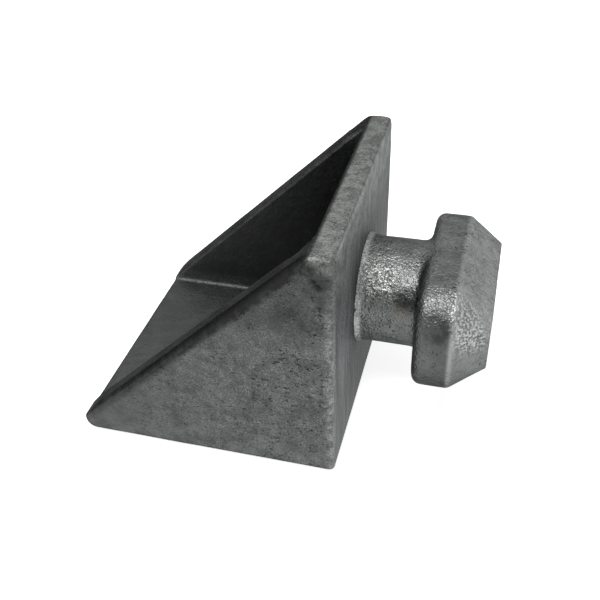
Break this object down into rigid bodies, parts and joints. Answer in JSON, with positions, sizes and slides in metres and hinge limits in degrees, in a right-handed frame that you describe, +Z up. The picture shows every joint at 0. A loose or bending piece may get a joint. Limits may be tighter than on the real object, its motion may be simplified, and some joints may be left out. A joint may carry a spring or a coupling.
{
  "type": "container twistlock",
  "caption": "Hollow galvanised steel wedge whose upright plate carries a quarter-turn twist pin with an oblong head, for locking into a container corner fitting.",
  "frame": {"origin": "on the ground under the wedge's underside, midway along and across the whole object's box", "axes": "+Z up; +X from the wedge's nose towards the twist head, along the pin's axis; +Y across the wedge, along the head's long way at rest"},
  "size_m": [0.202, 0.144, 0.128],
  "materials": {
    "galvanised_casting": "cast steel, hot-dip galvanised, dull grey with pits and runs",
    "galvanised_forging": "forged steel, hot-dip galvanised, orange-peel zinc with bright spangle",
    "zinc_plated_steel": "turned steel, zinc plated, satin",
    "steel_wire": "drawn steel wire, zinc plated"
  },
  "bodies": {
    "wedge": {"wedge_body": "galvanised_casting"},
    "lock": {"lock_pin": "galvanised_forging", "thrust_washer": "zinc_plated_steel", "castle_nut": "zinc_plated_steel", "split_pin": "steel_wire"}
  },
  "joints": [
    {"name": "lock_turn", "type": "hinge", "parent": "wedge", "child": "lock", "pos_m": [0.035, 0, 0.0644], "axis": [1, 0, 0], "range_deg": [0, 90]}
  ]
}
